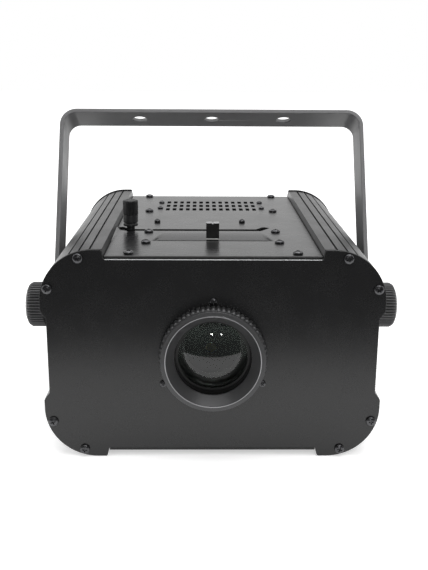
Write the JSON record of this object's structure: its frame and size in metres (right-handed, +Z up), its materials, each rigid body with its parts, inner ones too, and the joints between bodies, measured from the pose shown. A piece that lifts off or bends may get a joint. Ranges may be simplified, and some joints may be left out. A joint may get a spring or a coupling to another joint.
{
  "type": "gobo projector",
  "caption": "Compact black stage projector with a ribbed two-rail body, front focus ring, gobo slot, zoom slider, rear fan and a tilting hanging yoke with side clamp knobs.",
  "frame": {"origin": "on the surface that the body rests on, under the middle of the overall box", "axes": "+Z up, the lens looks along -Y, +X is on the right of someone who faces the lens"},
  "size_m": [0.2984, 0.28, 0.2438],
  "materials": {
    "coated_extrusion": "satin black powder coat on extruded aluminium",
    "coated_sheet": "satin black powder coat",
    "black_anodised": "satin black anodised",
    "black_steel": "black zinc",
    "raw_aluminium": "mill finish",
    "ground_steel": "ground",
    "black_plastic": "moulded nylon",
    "fibre": "pressed fibre",
    "coated_glass": "polished, anti-reflection coated"
  },
  "bodies": {
    "housing": {"side_extrusion_left": "coated_extrusion", "side_extrusion_right": "coated_extrusion", "front_plate": "coated_sheet", "rear_plate": "coated_sheet", "top_cover": "coated_sheet", "bottom_cover": "coated_sheet", "lens_flange": "black_anodised", "guide_rod_left": "ground_steel", "guide_rod_right": "ground_steel", "gobo_gate": "black_steel", "heatsink": "black_anodised", "led_module": "raw_aluminium", "collimator_holder": "black_anodised", "collimator_lens": "coated_glass", "base_tray": "raw_aluminium", "power_supply": "raw_aluminium", "fan_frame": "black_plastic", "fan_guard": "ground_steel", "mains_inlet": "black_plastic", "fuse_holder": "black_plastic", "switch_frame": "black_plastic", "friction_washer_left": "fibre", "friction_washer_right": "fibre", "pivot_block_left": "ground_steel", "pivot_block_right": "ground_steel", "front_screw_1": "black_steel", "front_screw_2": "black_steel", "front_screw_3": "black_steel", "front_screw_4": "black_steel", "front_screw_5": "black_steel", "front_screw_6": "black_steel", "front_screw_7": "black_steel", "front_screw_8": "black_steel", "flange_screw_1": "black_steel", "flange_screw_2": "black_steel", "flange_screw_3": "black_steel"},
    "yoke": {"yoke_bracket": "coated_sheet", "clamp_washer_left": "black_steel", "clamp_washer_right": "black_steel"},
    "clamp_left": {"clamp_knob_left": "black_plastic"},
    "clamp_right": {"clamp_knob_right": "black_plastic"},
    "focus_ring": {"focus_ring": "black_anodised"},
    "lens_group": {"lens_barrel": "black_anodised", "front_lens": "coated_glass", "rear_lens": "coated_glass", "front_retainer": "black_anodised", "rear_retainer": "black_anodised"},
    "zoom_slide": {"zoom_cam_plate": "black_steel"},
    "zoom_thumb": {"zoom_knob": "black_plastic"},
    "condenser": {"zoom_carriage": "black_anodised", "condenser_lens": "coated_glass", "condenser_retainer": "black_anodised"},
    "gobo": {"gobo_holder": "black_steel", "gobo_disc": "ground_steel", "gobo_clip": "ground_steel"},
    "fan": {"fan_impeller": "black_plastic"},
    "rocker": {"switch_rocker": "black_plastic"},
    "fuse_cap": {"fuse_cap": "black_plastic"}
  },
  "joints": [
    {"name": "yoke_tilt", "type": "hinge", "parent": "housing", "child": "yoke", "pos_m": [0, -0.04095, 0.0913], "axis": [1, 0, 0], "range_deg": [-31, 250]},
    {"name": "clamp_left_turn", "type": "hinge", "parent": "housing", "child": "clamp_left", "pos_m": [-0.14, -0.04095, 0.0913], "axis": [-1, 0, 0], "range_deg": [0, 360]},
    {"name": "clamp_right_turn", "type": "hinge", "parent": "housing", "child": "clamp_right", "pos_m": [0.14, -0.04095, 0.0913], "axis": [1, 0, 0], "range_deg": [0, 360]},
    {"name": "focus_turn", "type": "hinge", "parent": "housing", "child": "focus_ring", "pos_m": [0, -0.13, 0.0785], "axis": [0, 1, 0], "range_deg": [-120, 120]},
    {"name": "lens_travel", "type": "slide", "parent": "housing", "child": "lens_group", "axis": [0, 1, 0], "range_m": [-0.0041, 0.0041]},
    {"name": "zoom_travel", "type": "slide", "parent": "housing", "child": "zoom_slide", "axis": [1, 0, 0], "range_m": [0, 0.1]},
    {"name": "zoom_knob_turn", "type": "hinge", "parent": "zoom_slide", "child": "zoom_thumb", "pos_m": [-0.065, -0.03615, 0.16], "axis": [0, 0, 1], "range_deg": [0, 360]},
    {"name": "condenser_travel", "type": "slide", "parent": "housing", "child": "condenser", "axis": [0, 1, 0], "range_m": [0, 0.0161]},
    {"name": "gobo_lift", "type": "slide", "parent": "housing", "child": "gobo", "axis": [0, 0, 1], "range_m": [0, 0.1]},
    {"name": "fan_spin", "type": "hinge", "parent": "housing", "child": "fan", "pos_m": [0, 0.115, 0.0965], "axis": [0, 1, 0], "continuous": true},
    {"name": "switch_rock", "type": "hinge", "parent": "housing", "child": "rocker", "pos_m": [0.012, 0.13135, 0.0295], "axis": [0, 0, 1], "range_deg": [-18, 0]},
    {"name": "fuse_cap_turn", "type": "hinge", "parent": "housing", "child": "fuse_cap", "pos_m": [0.048, 0.13, 0.0295], "axis": [0, 1, 0], "range_deg": [0, 90]}
  ],
  "couplings": [
    {"joint": "lens_travel", "follows": "focus_turn", "m_per_rad": 0.00191},
    {"joint": "condenser_travel", "follows": "zoom_travel", "ratio": 0.16}
  ]
}
